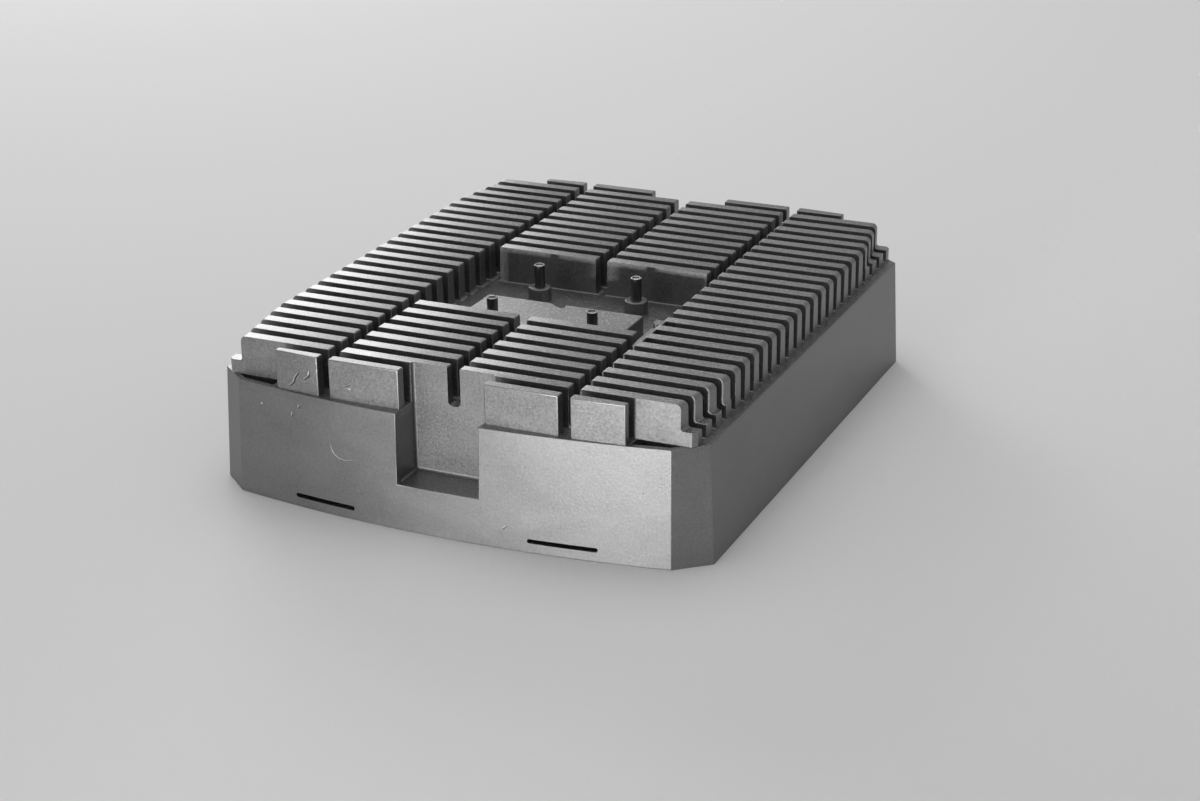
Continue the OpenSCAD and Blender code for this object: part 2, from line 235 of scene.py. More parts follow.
def cast_skin(name, tone, roughness, grain_depth, cloud=0.5, speckle=1.0,
              edge_wear_and_highlight=0.25, painted_glint_amount=0.3):
    """Shot-blasted cast aluminium of one tone. Clouds and grain change the tone. Single grains
    on faces that look up are painted brighter, a painted glint. Rounded edges are brighter and
    smoother, both as worn edges and as a painted highlight."""
    material, shader = new_material(name, metallic=0.95)
    tree = material.node_tree
    darkest, palest, warmth = 0.62, 1.38, 0.004
    painted_glint_gain, edge_gain, brightest = 3.0, 1.5, 0.9
    uneven, edge_gloss = 0.25, 0.1
    grain = use_group(tree, GRAIN, Depth=1.0)
    flow = use_group(tree, CLOUD, Strength=cloud)
    # Rounded edges: worn brighter, and also a painted highlight along them.
    edge = use_group(tree, POLISH, Amount=edge_wear_and_highlight)
    # This node deepens the grain on faces that look up, and paints single grains there brighter
    # as a painted glint.
    lift_and_painted_glint = use_group(tree, TOP_LIFT_AND_PAINTED_GLINT, Amount=painted_glint_amount)
    tree.links.new(grain.outputs["Speckle"], lift_and_painted_glint.inputs["Speckle"])
    change = maths(tree, "ADD", flow.outputs["Cloud"],
                   maths(tree, "MULTIPLY", grain.outputs["Speckle"], speckle))
    skin = blend_colours(tree, maths(tree, "ADD", change, 0.5, clamp=True),
                         grey(tone * darkest, -warmth), grey(tone * palest, warmth))
    # Painted glint: single grains on faces that look up are blended to a brighter grey.
    with_painted_glint = blend_colours(tree, lift_and_painted_glint.outputs["Mask"], skin,
                              grey(min(tone * painted_glint_gain, brightest)))
    # Rounded edges are blended to a brighter grey, both as worn edges and as a painted
    # highlight.
    colour = blend_colours(tree, edge.outputs["Mask"], with_painted_glint,
                           grey(min(tone * edge_gain, brightest)))
    tree.links.new(colour, shader.inputs["Base Color"])
    rough = maths(tree, "SUBTRACT",
                  maths(tree, "ADD", maths(tree, "MULTIPLY", change, uneven), roughness),
                  maths(tree, "MULTIPLY", edge.outputs["Mask"], edge_gloss))
    tree.links.new(rough, shader.inputs["Roughness"])
    height = maths(tree, "MULTIPLY", grain.outputs["Height"], lift_and_painted_glint.outputs["Lift"])
    tree.links.new(bump(tree, 1.0, grain_depth, height), shader.inputs["Normal"])
    return material


SHELL_SKIN = cast_skin("shell_skin", tone=0.205, roughness=0.45, grain_depth=0.00003,
                       speckle=0.6, edge_wear_and_highlight=0.08)


def merged_copy(name):
    """A node's solids in one bmesh, their loose triangles merged and their
    flat faces made whole."""
    touching, level = 1e-6, math.radians(0.15)
    bm = bmesh.new()
    bm.from_mesh(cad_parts[name].data)
    bmesh.ops.remove_doubles(bm, verts=bm.verts, dist=touching)
    bmesh.ops.dissolve_limit(bm, angle_limit=level, verts=bm.verts, edges=bm.edges)
    bm.faces.layers.float.new("rounded_edge")
    return bm


def mark_rounded(bm, faces):
    """Marks the faces that round an edge, for the shading and the polish."""
    mark = bm.faces.layers.float["rounded_edge"]
    for face in faces:
        face[mark] = 1.0


def middle(edge):
    return (edge.verts[0].co + edge.verts[1].co) / 2


def round_edges(bm, radius, chosen, segments=3, least=25.0):
    """Rounds the convex edges that chosen picks and that turn by more than
    the least angle, in degrees."""
    edges = [e for e in bm.edges
             if len(e.link_faces) == 2 and e.is_convex
             and e.calc_face_angle() > math.radians(least) and chosen(e)]
    made = bmesh.ops.bevel(bm, geom=edges, offset=radius, offset_type="OFFSET",
                           segments=segments, profile=0.5, affect="EDGES",
                           clamp_overlap=True, material=-1, loop_slide=True)
    mark_rounded(bm, made["faces"])


def finish_piece(bm, name, material, slot, *nodes):
    """Makes the mesh a piece that stands for the nodes, shaded smooth on its
    curves and sharp where a rounded edge meets a flat."""
    sharp = math.radians(38)
    mark = bm.faces.layers.float["rounded_edge"]
    for face in bm.faces:
        face.smooth = True
    for edge in bm.edges:
        if len(edge.link_faces) != 2:
            continue
        a, b = edge.link_faces
        border = (a[mark] > 0.5) != (b[mark] > 0.5)
        edge.smooth = not border and edge.calc_face_angle() < sharp
    mesh = bpy.data.meshes.new(name)
    bm.to_mesh(mesh)
    bm.free()
    mesh.materials.append(material)
    piece = bpy.data.objects.new(name, mesh)
    scene.collection.objects.link(piece)
    if nodes:
        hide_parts(*nodes)
    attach(piece, "root")


def plan(point):
    """A point or a direction as seen from above."""
    return Vector((point.x, point.y))


def flip(vector, sx, sy):
    """The same in another quarter of the housing: sx and sy are 1 or -1."""
    return Vector((vector[0] * sx, vector[1] * sy))


def ease_corner(bm, corner, first, second):
    """Rounds a drafted upright corner that two walls share, each taking its
    own half: three planes cut the corner off as tangents of one round."""
    def nearest(z):
        level = (v.co.copy() for v in bm.verts if abs(v.co.z - z) < SAME_LEVEL)
        return min(level, key=lambda co: (plan(co) - corner).length)
    top, bottom = nearest(RIM_Z), nearest(0.0)
    along = (bottom - top).normalized()
    half = first.angle(second) / 2
    out = (first.normalized() + second.normalized()).to_3d()
    out = (out - along * out.dot(along)).normalized()
    centre = top - out * (CORNER_ROUND / math.cos(half))
    for part in CORNER_CUTS:
        normal = Matrix.Rotation(part * half, 3, along) @ out
        geometry = bm.verts[:] + bm.edges[:] + bm.faces[:]
        cut = bmesh.ops.bisect_plane(bm, geom=geometry, dist=1e-8, clear_outer=True,
                                     plane_co=centre + normal * CORNER_ROUND,
                                     plane_no=normal)
        rim = [g for g in cut["geom_cut"] if isinstance(g, bmesh.types.BMEdge)]
        if rim:
            mark_rounded(bm, bmesh.ops.contextual_create(bm, geom=rim)["faces"])


FACET_NORMAL = Vector((math.sin(CORNER_TURN), -math.cos(CORNER_TURN)))
BOW_NORMAL = (BOW_END - Vector((0.0, BOW_CENTRE_Y))).normalized()
SIDE_NORMAL = Vector((1.0, 0.0))


def ease_bow_corner(bm, sx, sy):
    """The corner between a bowed wall and a corner wall."""
    ease_corner(bm, flip(BOW_END, sx, sy), flip(BOW_NORMAL, sx, sy),
                flip(FACET_NORMAL, sx, sy))


def ease_side_corner(bm, sx, sy):
    """The corner between a corner wall and a side wall."""
    ease_corner(bm, flip(SIDE_END, sx, sy), flip(FACET_NORMAL, sx, sy),
                flip(SIDE_NORMAL, sx, sy))


def bow_distance(point, sy):
    """Distance of a point from the axis that a bowed wall curves about."""
    return (flip(point, 1, sy) - Vector((0.0, BOW_CENTRE_Y))).length


def on_mitre(edge):
    """Whether an edge lies in a plane where two walls meet."""
    exact, near = 2e-5, 0.02
    for end, first, second in ((BOW_END, BOW_NORMAL, FACET_NORMAL),
                               (SIDE_END, FACET_NORMAL, SIDE_NORMAL)):
        between = (first + second).normalized()
        across = Vector((-between.y, between.x))
        for sx, sy in ((1, 1), (1, -1), (-1, 1), (-1, -1)):
            plane = flip(across, sx, sy)
            reach = [plan(v.co) - flip(end, sx, sy) for v in edge.verts]
            if all(abs(r.dot(plane)) < exact and r.length < near for r in reach):
                return True
    return False


def is_slot(point):
    """Whether a point is as far out and as high as the front wall's slots."""
    return SLOT_LOW_Z < point.z < SLOT_HIGH_Z and SLOT_NEAR_X < abs(point.x) < SLOT_FAR_X


for name, sy in (("front_wall", 1), ("back_wall", -1)):
    wall = merged_copy(name)
    for sx in (1, -1):
        ease_bow_corner(wall, sx, sy)

    def outer_edge(edge, sy=sy):
        at = middle(edge)
        outside = bow_distance(at, sy) > BOW_RADIUS - WALL_THICK + 2 * ON_PLANE
        return not on_mitre(edge) and not is_slot(at) and (outside or at.z < ON_PLANE)

    def slot_mouth(edge, sy=sy):
        at = middle(edge)
        return is_slot(at) and bow_distance(at, sy) > BOW_RADIUS - WALL_THICK / 2

    round_edges(wall, EDGE_ROUND, outer_edge)
    round_edges(wall, SLOT_ROUND, slot_mouth, segments=2)
    finish_piece(wall, "cast_" + name, SHELL_SKIN, "shell_casting", name)

for name, sx in (("left_wall", -1), ("right_wall", 1)):
    wall = merged_copy(name)
    for sy in (1, -1):
        ease_side_corner(wall, sx, sy)

    def rim_edge(edge):
        at = middle(edge)
        outside = abs(at.x) > SIDE_END.x - OUTER_BAND
        return not on_mitre(edge) and (outside or at.z < ON_PLANE)

    round_edges(wall, EDGE_ROUND, rim_edge)
    finish_piece(wall, "cast_" + name, SHELL_SKIN, "shell_casting", name)

for name, sx, sy in (("front_left_corner_wall", -1, 1), ("front_right_corner_wall", 1, 1),
                     ("back_left_corner_wall", -1, -1), ("back_right_corner_wall", 1, -1)):
    wall = merged_copy(name)
    ease_bow_corner(wall, sx, sy)
    ease_side_corner(wall, sx, sy)

    def facet_edge(edge, sx=sx, sy=sy):
        at = middle(edge)
        reach = plan(at).dot(flip(FACET_NORMAL, sx, sy))
        outside = reach > BOW_END.dot(FACET_NORMAL) - OUTER_BAND
        return not on_mitre(edge) and (outside or at.z < ON_PLANE)

    round_edges(wall, EDGE_ROUND, facet_edge)
    finish_piece(wall, "cast_" + name, SHELL_SKIN, "shell_casting", name)

# Deck
# The deck closes the shell at the rim and carries the fins. It is cast with
# the walls, so only its edges over the recess and the pockets are free. Its
# grain stands out more than the walls', like that of the fins.
RECESS_X = 0.0177
POCKET_X = 0.077
LEAST_RUN = 0.001
FIN_SKIN = cast_skin("fin_skin", tone=0.23, roughness=0.43, grain_depth=0.00003)


def free_deck_edge(edge):
    """Whether an edge on the deck's top runs back beside the recess or a
    pocket."""
    at = middle(edge)
    runs_back = abs(edge.verts[0].co.y - edge.verts[1].co.y) > LEAST_RUN
    beside = any(abs(abs(at.x) - x) < ON_PLANE for x in (RECESS_X, POCKET_X))
    return beside and runs_back and at.z > RIM_Z - ON_PLANE


deck = merged_copy("deck")
round_edges(deck, EDGE_ROUND, free_deck_edge)
finish_piece(deck, "cast_deck", FIN_SKIN, "shell_casting", "deck")

# Recess
# The front recess is a deep open box cast between the two inner blocks, with
# small coves in its corners. Its back wall is one face with the first fins,
# so it has their finish.
COVE = 0.001
COVE_SUNK = 0.0002
RECESS_FLOOR_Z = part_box("recess_floor")[1].z
RECESS_BACK_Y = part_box("recess_back_wall")[0].y
FIN_TOP_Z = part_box("outer_left_fins")[1].z


def empty_mesh():
    """A bmesh with nothing in it, ready for marks on rounded faces."""
    bm = bmesh.new()
    bm.faces.layers.float.new("rounded_edge")
    return bm


def cove(start, end, first, second):
    """A concave fillet along a corner from start to end. First and second
    are the directions of the two faces that it leaves the corner along."""
    start, end = Vector(start), Vector(end)
    first, second = Vector(first), Vector(second)
    bm = empty_mesh()
    corner = bm.verts.new(start - (first + second) * COVE_SUNK)
    begin = bm.verts.new(start + first * COVE)
    centre = start + (first + second) * COVE
    swept = bmesh.ops.spin(bm, geom=[begin], cent=centre, axis=first.cross(second),
                           angle=math.radians(-90), steps=6, use_merge=False)
    stop = swept["geom_last"][0]
    bm.edges.new((corner, begin))
    bm.edges.new((stop, corner))
    face = bmesh.ops.contextual_create(bm, geom=bm.edges[:])["faces"]
    grown = bmesh.ops.extrude_face_region(bm, geom=face, use_keep_orig=True)
    moved = [g for g in grown["geom"] if isinstance(g, bmesh.types.BMVert)]
    bmesh.ops.translate(bm, verts=moved, vec=end - start)
    bmesh.ops.recalc_face_normals(bm, faces=bm.faces)
    return bm


def join_meshes(parts):
    """One bmesh from several, which are used up."""
    bm = bmesh.new()
    for part in parts:
        mesh = bpy.data.meshes.new("part")
        part.to_mesh(mesh)
        part.free()
        bm.from_mesh(mesh)
        bpy.data.meshes.remove(mesh)
    return bm


def wall_inside_y(x):
    """Where the front wall's inner face is at its rim, at a place across it."""
    return BOW_CENTRE_Y - math.sqrt((BOW_RADIUS - WALL_THICK) ** 2 - x ** 2)


recess_coves = []
for sx in (1, -1):
    corner = (RECESS_X * sx, RECESS_BACK_Y, RECESS_FLOOR_Z)
    top = (RECESS_X * sx, RECESS_BACK_Y, FIN_TOP_Z - EDGE_ROUND)
    mouth = (RECESS_X * sx, wall_inside_y(RECESS_X), RECESS_FLOOR_Z)
    recess_coves.append(cove(corner, top, (-sx, 0, 0), (0, -1, 0)))
    recess_coves.append(cove(corner, mouth, (-sx, 0, 0), (0, 0, 1)))
recess_coves.append(cove((-RECESS_X, RECESS_BACK_Y, RECESS_FLOOR_Z),
                         (RECESS_X, RECESS_BACK_Y, RECESS_FLOOR_Z), (0, -1, 0), (0, 0, 1)))
finish_piece(join_meshes(recess_coves), "recess_coves", SHELL_SKIN, "shell_casting")
for name, skin in (("recess_back_wall", FIN_SKIN), ("recess_cheeks", SHELL_SKIN),
                   ("recess_floor", SHELL_SKIN)):
    finish_piece(merged_copy(name), "cast_" + name, skin, "shell_casting", name)

# Corner pockets
# A pocket in each corner of the shell, between the wall's rim and the nearest
# outer fin. They are cast like the recess, with the same coves.
POCKET_BACK_Y = 0.11785
POCKET_RUN = 0.018
pocket_coves = []
for sx in (1, -1):
    for sy in (1, -1):
        x, back = POCKET_X * sx, -POCKET_BACK_Y * sy
        corner = (x, back, RECESS_FLOOR_Z)
        top = (x, back, RIM_Z)
        mouth = (x, wall_inside_y(POCKET_X) * sy, RECESS_FLOOR_Z)
        end = (x + POCKET_RUN * sx, back, RECESS_FLOOR_Z)
        pocket_coves.append(cove(corner, top, (sx, 0, 0), (0, -sy, 0)))
        pocket_coves.append(cove(corner, mouth, (sx, 0, 0), (0, 0, 1)))
        pocket_coves.append(cove(corner, end, (0, -sy, 0), (0, 0, 1)))
finish_piece(join_meshes(pocket_coves), "pocket_coves", SHELL_SKIN, "shell_casting")
for name in ("pocket_back_walls", "pocket_side_walls", "pocket_floors"):
    finish_piece(merged_copy(name), "cast_" + name, SHELL_SKIN, "shell_casting", name)

# Blocks
# Four short blocks stand before the first row of fins at the front and four
# behind the last row, cast with the deck. The die leaves their edges rounded.
BLOCK_ROUND = 0.0004


def lowest(edge):
    return min(v.co.z for v in edge.verts)


def highest(edge):
    return max(v.co.z for v in edge.verts)


def above_deck(edge):
    return highest(edge) > RIM_Z + SAME_LEVEL


for end in ("front", "back"):
    for place in ("outer_left", "inner_left", "inner_right", "outer_right"):
        name = end + "_block_" + place
        block = merged_copy(name)
        round_edges(block, BLOCK_ROUND, above_deck)
        finish_piece(block, "cast_" + name, FIN_SKIN, "fin_casting", name)

# Fins
# Twenty-four rows of cooling fins in four columns, cast in one with the deck.
# The ends of the outer fins are rounded, and the first and last four rows
# are drawn in over a low foot.
FIN_ROUND = 0.0004
# Heights over the deck that a rounded edge starts above and reaches above
FIN_EDGE_LOW, FIN_EDGE_HIGH = 0.0004, 0.0012


def fin_edge(edge):
    return highest(edge) > RIM_Z + FIN_EDGE_HIGH and lowest(edge) > RIM_Z + FIN_EDGE_LOW


for name in ("outer_left_fins", "inner_left_front_fins", "inner_left_back_fins",
             "inner_right_front_fins", "inner_right_back_fins", "outer_right_fins"):
    fins = merged_copy(name)
    round_edges(fins, FIN_ROUND, fin_edge, segments=2, least=40.0)
    finish_piece(fins, "cast_" + name, FIN_SKIN, "fin_casting", name)

# Web and pad
# A web and a lug join the ends of four fins beside the bay, and a flat pad
# stands on the front half of the bay's floor. Both are cast with the deck.
WEB_ROUND, WEB_EDGE_LOW = 0.0003, 0.0022
PAD_ROUND = 0.0005


def web_edge(edge):
    return lowest(edge) > RIM_Z + WEB_EDGE_LOW


web = merged_copy("fin_web")
round_edges(web, WEB_ROUND, web_edge, segments=2)
finish_piece(web, "cast_fin_web", FIN_SKIN, "fin_casting", "fin_web")
pad = merged_copy("bay_pad")
round_edges(pad, PAD_ROUND, above_deck)
finish_piece(pad, "cast_bay_pad", FIN_SKIN, "fin_casting", "bay_pad")

# Standoffs
# Four turned steel posts, pressed in, tapped for small screws and level with
# the fin tops. Their rims are chamfered and bright.
POST_X, POST_FRONT_Y, POST_REAR_Y = 0.0227, -0.0377, 0.0077
POST_RADIUS, POST_CHAMFER = 0.0023, 0.00035
POST_BORE, POST_BORE_CHAMFER = 0.0015, 0.0002
# Depths under the post's top of the bore's wall and of its drilled point
POST_BORE_DEPTH, POST_POINT_DEPTH = 0.0064, 0.0070
# The thread's crest and pitch, and about how deep it starts and ends
POST_CREST, POST_PITCH = 0.00125, 0.0005
POST_THREAD_START, POST_THREAD_END = 0.0003, 0.0062


def lathe(profile, x, y, steps=40):
    """A closed profile of (radius, height) pairs turned about an upright
    axis at x, y."""
    bm = empty_mesh()
    ring = [bm.verts.new((x + r, y, z)) for r, z in profile]
    rim = [bm.edges.new((a, b)) for a, b in zip(ring, ring[1:])]
    bmesh.ops.spin(bm, geom=ring + rim, cent=(x, y, 0), axis=(0, 0, 1),
                   angle=math.tau, steps=steps, use_merge=True)
    bmesh.ops.remove_doubles(bm, verts=bm.verts, dist=1e-7)
    bmesh.ops.recalc_face_normals(bm, faces=bm.faces)
    return bm


def thread(x, y, bottom, top, root, crest, pitch, steps=28):
    """The screw thread that a tap leaves in a bore, as one spun rib. The rib
    is a little sunk in the bore's wall, and its heights are shares of the
    pitch."""
    bm = empty_mesh()
    sunk = 0.00005
    foot = root + sunk
    section = ((foot, 0.0), (crest, 0.42), (crest, 0.55), (foot, 0.97))
    rib = [bm.verts.new((x + r, y, bottom + pitch * share)) for r, share in section]
    face = bmesh.ops.contextual_create(bm, geom=rib)["faces"]
    turns = int((top - bottom) / pitch)
    bmesh.ops.spin(bm, geom=rib + face[0].edges[:] + face, cent=(x, y, 0), axis=(0, 0, 1),
                   dvec=(0, 0, pitch / steps), angle=math.tau * turns,
                   steps=steps * turns, use_merge=False)
    bmesh.ops.recalc_face_normals(bm, faces=bm.faces)
    return bm


def post_profile(foot):
    """Half section of a post from its foot's height to the fin tops."""
    top = FIN_TOP_Z
    return ((0.0, foot), (POST_RADIUS, foot), (POST_RADIUS, top - POST_CHAMFER),
            (POST_RADIUS - POST_CHAMFER, top), (POST_BORE + POST_BORE_CHAMFER, top),
            (POST_BORE, top - POST_BORE_CHAMFER), (POST_BORE, top - POST_BORE_DEPTH),
            (0.0, top - POST_POINT_DEPTH))


def mark_rims(bm):
    """Marks the chamfers at the top of a post, which slope and lie high."""
    level, deepest = 0.97, 0.00034
    mark_rounded(bm, [face for face in bm.faces if abs(face.normal.z) < level
                      and face.calc_center_median().z > FIN_TOP_Z - deepest])


def turned_steel(name, tone, rim_tone, roughness):
    """Turned steel with the faint rings that the tool leaves, and rims that
    are cut bright."""
    material, shader = new_material(name, metallic=1.0)
    tree = material.node_tree
    darkest, palest, ring_roughness = 0.8, 1.15, 0.08
    ring_bump, ring_depth = 0.6, 0.00001
    where = object_place(tree)
    wave = add_node(tree, "ShaderNodeTexWave",
                    {"Vector": where, "Scale": 900.0, "Distortion": 1.2, "Detail": 2.0,
                     "Detail Scale": 3.0}, bands_direction="Z")
    rings = wave.outputs[1]
    smudge = noise(tree, where, Scale=400.0, Detail=3.0)
    skin = blend_colours(tree, smudge, grey(tone * darkest), grey(tone * palest))
    rim = use_group(tree, POLISH, Amount=1.0)
    colour = blend_colours(tree, rim.outputs["Mask"], skin, grey(rim_tone))
    tree.links.new(colour, shader.inputs["Base Color"])
    rough = maths(tree, "ADD", maths(tree, "MULTIPLY", rings, ring_roughness), roughness)
    tree.links.new(rough, shader.inputs["Roughness"])
    tree.links.new(bump(tree, ring_bump, ring_depth, rings), shader.inputs["Normal"])
    return material


POST_STEEL = turned_steel("post_steel", tone=0.18, rim_tone=0.8, roughness=0.24)
for name, y, foot in (("front_standoffs", POST_FRONT_Y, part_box("bay_pad")[1].z),
                      ("rear_standoffs", POST_REAR_Y, RIM_Z)):
    posts = []
    for x in (-POST_X, POST_X):
        post = lathe(post_profile(foot), x, y)
        mark_rims(post)
        posts.append(post)
        posts.append(thread(x, y, FIN_TOP_Z - POST_THREAD_END, FIN_TOP_Z - POST_THREAD_START,
                            POST_BORE, POST_CREST, POST_PITCH))
    finish_piece(join_meshes(posts), "turned_" + name, POST_STEEL, "standoff_steel", name)

# Collars
# Two round collars, cast on the deck, hold the feet of the rear posts. Their
# rims are rounded, and their bores are chamfered round the posts.
COLLAR_RADIUS, COLLAR_ROUND, COLLAR_CHAMFER = 0.005, 0.0006, 0.0003
COLLAR_TOP_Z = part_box("standoff_collars")[1].z


def collar_profile():
    """Half section of a collar with a rounded rim and a chamfered bore."""
    steps = 4
    points = [(POST_RADIUS, RIM_Z), (COLLAR_RADIUS, RIM_Z)]
    for step in range(steps + 1):
        turn = math.radians(90 * step / steps)
        points.append((COLLAR_RADIUS - COLLAR_ROUND + COLLAR_ROUND * math.cos(turn),
                       COLLAR_TOP_Z - COLLAR_ROUND + COLLAR_ROUND * math.sin(turn)))
    points += [(POST_RADIUS + COLLAR_CHAMFER, COLLAR_TOP_Z),
               (POST_RADIUS, COLLAR_TOP_Z - COLLAR_CHAMFER), (POST_RADIUS, RIM_Z)]
    return points


collars = [lathe(collar_profile(), x, POST_REAR_Y) for x in (-POST_X, POST_X)]
finish_piece(join_meshes(collars), "cast_standoff_collars", FIN_SKIN, "fin_casting",
             "standoff_collars")

# Cover bosses
# Six bosses inside the shell take the screws of a bottom cover. They are cast
# with the deck on spreading feet, and drilled and tapped afterwards.
BOSS_X, BOSS_Y = 0.093, 0.098
BOSS_RADIUS, BOSS_CHAMFER = 0.0045, 0.0004
# How far the foot spreads at the deck and reaches down, and where it bends
BOSS_FOOT, BOSS_WAIST_OUT, BOSS_WAIST_DOWN = 0.0012, 0.0003, 0.0004
BOSS_BORE, BOSS_CREST, BOSS_PITCH = 0.002, 0.00165, 0.0007
# Heights over the bottom rim of the bore's drilled point and the thread's foot,
# and how far under the point the bore's wall and the thread stop
BOSS_DEPTH, BOSS_THREAD_START = 0.012, 0.0006
BOSS_POINT, BOSS_THREAD_STOP = 0.001, 0.0012
DECK_UNDER_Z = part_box("deck")[0].z
BOSS_SECTION = (
    (0.0, DECK_UNDER_Z), (BOSS_RADIUS + BOSS_FOOT, DECK_UNDER_Z),
    (BOSS_RADIUS + BOSS_WAIST_OUT, DECK_UNDER_Z - BOSS_WAIST_DOWN),
    (BOSS_RADIUS, DECK_UNDER_Z - BOSS_FOOT),
    (BOSS_RADIUS, BOSS_CHAMFER), (BOSS_RADIUS - BOSS_CHAMFER, 0.0),
    (BOSS_BORE + BOSS_CHAMFER, 0.0), (BOSS_BORE, BOSS_CHAMFER),
    (BOSS_BORE, BOSS_DEPTH - BOSS_POINT), (0.0, BOSS_DEPTH))
bosses = []
for x in (BOSS_X, -BOSS_X):
    for y in (-BOSS_Y, 0.0, BOSS_Y):
        bosses.append(lathe(BOSS_SECTION, x, y))
        bosses.append(thread(x, y, BOSS_THREAD_START, BOSS_DEPTH - BOSS_THREAD_STOP,
                             BOSS_BORE, BOSS_CREST, BOSS_PITCH))
finish_piece(join_meshes(bosses), "cast_cover_bosses", SHELL_SKIN, "shell_casting",
             "cover_bosses")

# Ejector marks
# Shallow round marks that the die's ejector pins leave under the deck, each a
# low disc with a raised rim, cast with it.
EJECTOR_X, EJECTOR_Y = (-0.068, -0.0227, 0.0227, 0.068), (-0.085, -0.030, 0.030, 0.085)
EJECTOR_RADIUS, EJECTOR_RIM = 0.004, 0.0005
# Radius and height of each point, the height counted from the deck's underside
EJECTOR_SECTION = (
    (0.0, 0.0001), (EJECTOR_RADIUS, 0.0001), (EJECTOR_RADIUS, -0.00022),
    (EJECTOR_RADIUS - EJECTOR_RIM * 0.4, -0.0003), (EJECTOR_RADIUS - EJECTOR_RIM, -0.0001),
    (0.0, -0.00008))
ejector_profile = [(r, DECK_UNDER_Z + height) for r, height in EJECTOR_SECTION]
ejector_marks = [lathe(ejector_profile, x, y) for x in EJECTOR_X for y in EJECTOR_Y]
finish_piece(join_meshes(ejector_marks), "deck_ejector_marks", SHELL_SKIN, "shell_casting")

# Casting marks
# Small raised flash lines that the die leaves on the front wall and on the two blocks at the
# left, a fraction of a millimetre high. Most have a near-black line beside them, to the right
# and below: a painted shadow of the ridge.
MM = 0.001
# The flash lines are painted lighter than the wall: a painted highlight on the ridges.
FLASH_HIGHLIGHT_SKIN = cast_skin("flash_highlight_skin", tone=0.44, roughness=0.45, grain_depth=0.00001,
                       cloud=0.2, edge_wear_and_highlight=0.1)
# A near-black skin for the painted shadows beside the flash ridges.
RIDGE_SHADOW_SKIN = cast_skin("ridge_shadow_skin", tone=0.06, roughness=0.6, grain_depth=0.00002,
                      cloud=0.2, edge_wear_and_highlight=0.0)
BLOCK_FACE_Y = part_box("front_block_inner_left")[0].y
# From here outwards an outer block's face goes back, by this much over this run
BLOCK_BEND_X, BLOCK_SWEEP, BLOCK_RUN = 0.05725, 0.0013, 0.01635
# A line's thickness at its ends, as a share of that along it
FLASH_TIP = 0.35
# Where a ridge's painted shadow runs, to the right of its ridge and below, in millimetres, and
# on the blocks its thickness as a share of the ridge's
SHADOW_ASIDE, SHADOW_BELOW, SHADOW_SHARE = 0.45, 0.3, 0.55
SPECK_SIZE = (0.0005, 0.00015, 0.0004)


def on_front_wall(x, z):
    reach = BOW_RADIUS + (RIM_Z - z) * math.tan(DRAFT)
    return Vector((x, BOW_CENTRE_Y - math.sqrt(reach ** 2 - x ** 2), z))


def on_outer_block(x, z):
    back = max(0.0, abs(x) - BLOCK_BEND_X) * BLOCK_SWEEP / BLOCK_RUN
    return Vector((x, BLOCK_FACE_Y + back, z))


def on_inner_block(x, z):
    return Vector((x, BLOCK_FACE_Y, z))


def flash_line(place, spots, thick, press=1.0):
    """A thin tapered line along spots in millimetres on a face that looks
    to the front, half sunk in it. Below 1, press flattens it on the face."""
    points = [place(x * MM, z * MM) for x, z in spots]
    data = bpy.data.curves.new("flash", "CURVE")
    data.dimensions = "3D"
    data.bevel_depth = thick
    data.bevel_resolution = 2
    data.use_fill_caps = True
    data.resolution_u = 5
    spline = data.splines.new("NURBS")
    spline.points.add(len(points) - 1)
    spline.order_u = min(3, len(points))
    spline.use_endpoint_u = True
    for index, (spot, at) in enumerate(zip(spline.points, points)):
        spot.co = (*at, 1.0)
        spot.radius = FLASH_TIP if index in (0, len(points) - 1) else 1.0
    line = bpy.data.objects.new("flash", data)
    scene.collection.objects.link(line)
    bm = empty_mesh()
    tube = bpy.data.meshes.new_from_object(line.evaluated_get(
        bpy.context.evaluated_depsgraph_get()))
    bm.from_mesh(tube)
    bpy.data.meshes.remove(tube)
    bpy.data.objects.remove(line)
    bpy.data.curves.remove(data)
    centre = sum(points, Vector((0.0, 0.0, 0.0))) / len(points)
    bmesh.ops.scale(bm, verts=bm.verts, vec=(1.0, press, 1.0),
                    space=Matrix.Translation(-centre))
    mark_rounded(bm, bm.faces)
    return bm


def speck(at):
    """A small flattened bead on a face that looks to the front."""
    bm = empty_mesh()
    bmesh.ops.create_icosphere(bm, subdivisions=2, radius=1.0)
    bmesh.ops.scale(bm, verts=bm.verts, vec=SPECK_SIZE)
    bmesh.ops.translate(bm, verts=bm.verts, vec=at)
    return bm


def beside(spots):
    """The path of the painted shadow that runs beside a ridge."""
    return tuple((x + SHADOW_ASIDE, z - SHADOW_BELOW) for x, z in spots)


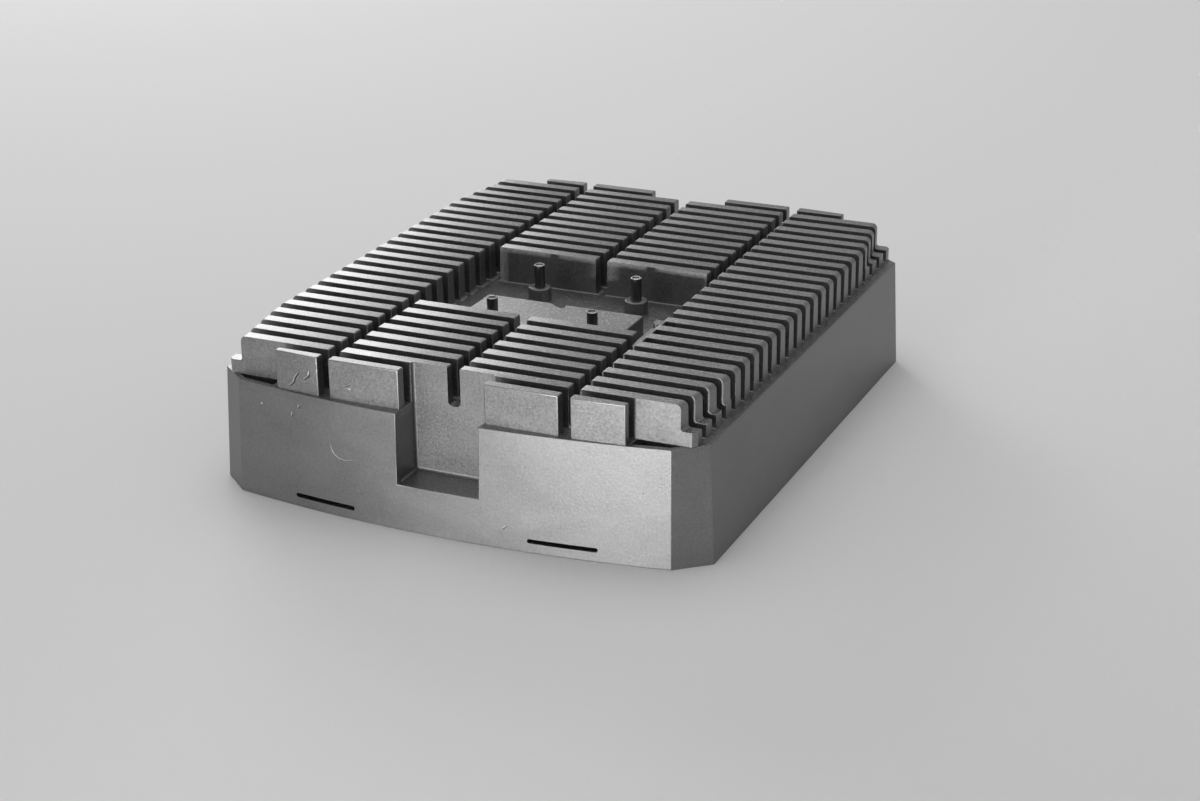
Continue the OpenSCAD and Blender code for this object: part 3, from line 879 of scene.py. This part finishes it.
block_marks, block_ridge_shadows = [], []
for place, thick, spots in (
        (on_outer_block, 0.00046, ((-63.1, 56.4), (-64.1, 55.0), (-65.0, 53.9), (-65.3, 52.6),
                                   (-65.9, 51.6), (-67.0, 50.7), (-67.7, 50.2))),
        (on_outer_block, 0.00042, ((-57.9, 57.8), (-58.1, 56.3), (-58.6, 55.5), (-59.6, 54.7),
                                   (-60.4, 54.0))),
        (on_outer_block, 0.00028, ((-64.9, 60.8), (-64.0, 60.9), (-63.1, 60.8))),
        (on_outer_block, 0.00020, ((-60.8, 52.4), (-59.5, 52.6), (-58.3, 52.5))),
        (on_inner_block, 0.00022, ((-41.6, 53.5), (-40.8, 53.2), (-40.1, 53.0), (-39.3, 52.6))),
        (on_inner_block, 0.00020, ((-39.7, 55.2), (-40.6, 54.5), (-42.1, 54.1), (-42.7, 53.6))),
        (on_inner_block, 0.00016, ((-38.5, 57.2), (-37.9, 56.9)))):
    block_marks.append(flash_line(place, spots, thick))
    # A painted shadow beside each ridge, to the right and below.
    block_ridge_shadows.append(flash_line(place, beside(spots), thick * SHADOW_SHARE))
finish_piece(join_meshes(block_marks), "block_flash", FLASH_HIGHLIGHT_SKIN, "fin_casting")
finish_piece(join_meshes(block_ridge_shadows), "block_ridge_shadows", RIDGE_SHADOW_SKIN, "fin_casting")

wall_marks, wall_ridge_shadows = [], []
for thick, press, shadow_thick, spots in (
        (0.00046, 0.3, 0.00024, ((-62.7, 43.2), (-63.0, 42.5), (-63.2, 42.0))),
        (0.00032, 0.4, 0.00012, ((-66.1, 39.9), (-66.2, 38.9), (-66.6, 38.0))),
        (0.00014, 1.0, 0.0, ((-48.2, 30.6), (-47.4, 27.4), (-45.6, 25.3), (-41.4, 24.0),
                             (-36.2, 25.5))),
        (0.00050, 0.3, 0.00018, ((27.1, 8.3), (28.0, 8.9), (29.0, 10.1))),
        (0.00016, 0.4, 0.00014, ((82.0, 29.8), (82.2, 30.3), (82.4, 30.7)))):
    wall_marks.append(flash_line(on_front_wall, spots, thick, press))
    # A painted shadow beside the ridge, to the right and below.
    if shadow_thick:
        wall_ridge_shadows.append(flash_line(on_front_wall, beside(spots), shadow_thick))
for x, z in ((81.5, 28.3), (-81.3, 40.1)):
    wall_marks.append(speck(on_front_wall(x * MM, z * MM)))
finish_piece(join_meshes(wall_marks), "wall_flash", FLASH_HIGHLIGHT_SKIN, "shell_casting")
finish_piece(join_meshes(wall_ridge_shadows), "wall_ridge_shadows", RIDGE_SHADOW_SKIN, "shell_casting")

# Studio
# Not part of the housing: a plain pale table, an even white air, and three
# soft lamps, low in front, behind at the left, and overhead.
TABLE_REACH, TABLE_TONE, TABLE_ROUGHNESS = 6.0, 0.76, 0.9
AIR_STRENGTH = 0.42
floor_mesh = bpy.data.meshes.new("floor")
floor_bm = bmesh.new()
bmesh.ops.create_grid(floor_bm, x_segments=1, y_segments=1, size=TABLE_REACH)
floor_bm.to_mesh(floor_mesh)
floor_bm.free()
floor = bpy.data.objects.new("floor", floor_mesh)
scene.collection.objects.link(floor)
paper, paper_shader = new_material("table_paper", metallic=0.0)
paper_shader.inputs["Base Color"].default_value = grey(TABLE_TONE)
paper_shader.inputs["Roughness"].default_value = TABLE_ROUGHNESS
floor_mesh.materials.append(paper)

world = bpy.data.worlds.new("studio_air")
world.use_nodes = True
air = world.node_tree.nodes["Background"]
air.inputs["Color"].default_value = grey(1.0)
air.inputs["Strength"].default_value = AIR_STRENGTH
scene.world = world


def soft_light(name, place, target, width, height, power, spread=180.0):
    """A soft lamp at a place, aimed at its target. Its spread is in degrees."""
    data = bpy.data.lights.new(name, "AREA")
    data.shape = "RECTANGLE"
    data.size, data.size_y = width, height
    data.energy = power
    data.spread = math.radians(spread)
    lamp = bpy.data.objects.new(name, data)
    aim = (Vector(target) - Vector(place)).to_track_quat("-Z", "Y")
    lamp.matrix_world = Matrix.Translation(place) @ aim.to_matrix().to_4x4()
    lamp.visible_camera = False
    scene.collection.objects.link(lamp)


soft_light("front_low", place=(-0.02, -1.60, 0.08), target=(0.07, -0.12, 0.04),
           width=0.24, height=0.07, power=0.28, spread=18.0)
soft_light("back_left", place=(-1.622, 1.739, 0.833), target=(-0.02, -0.02, 0.06),
           width=1.0, height=0.67, power=18.0)
soft_light("overhead", place=(-0.2, 0.3, 1.6), target=(0.0, 0.0, 0.0),
           width=1.6, height=1.6, power=8.0)

scene.view_settings.view_transform = "Standard"
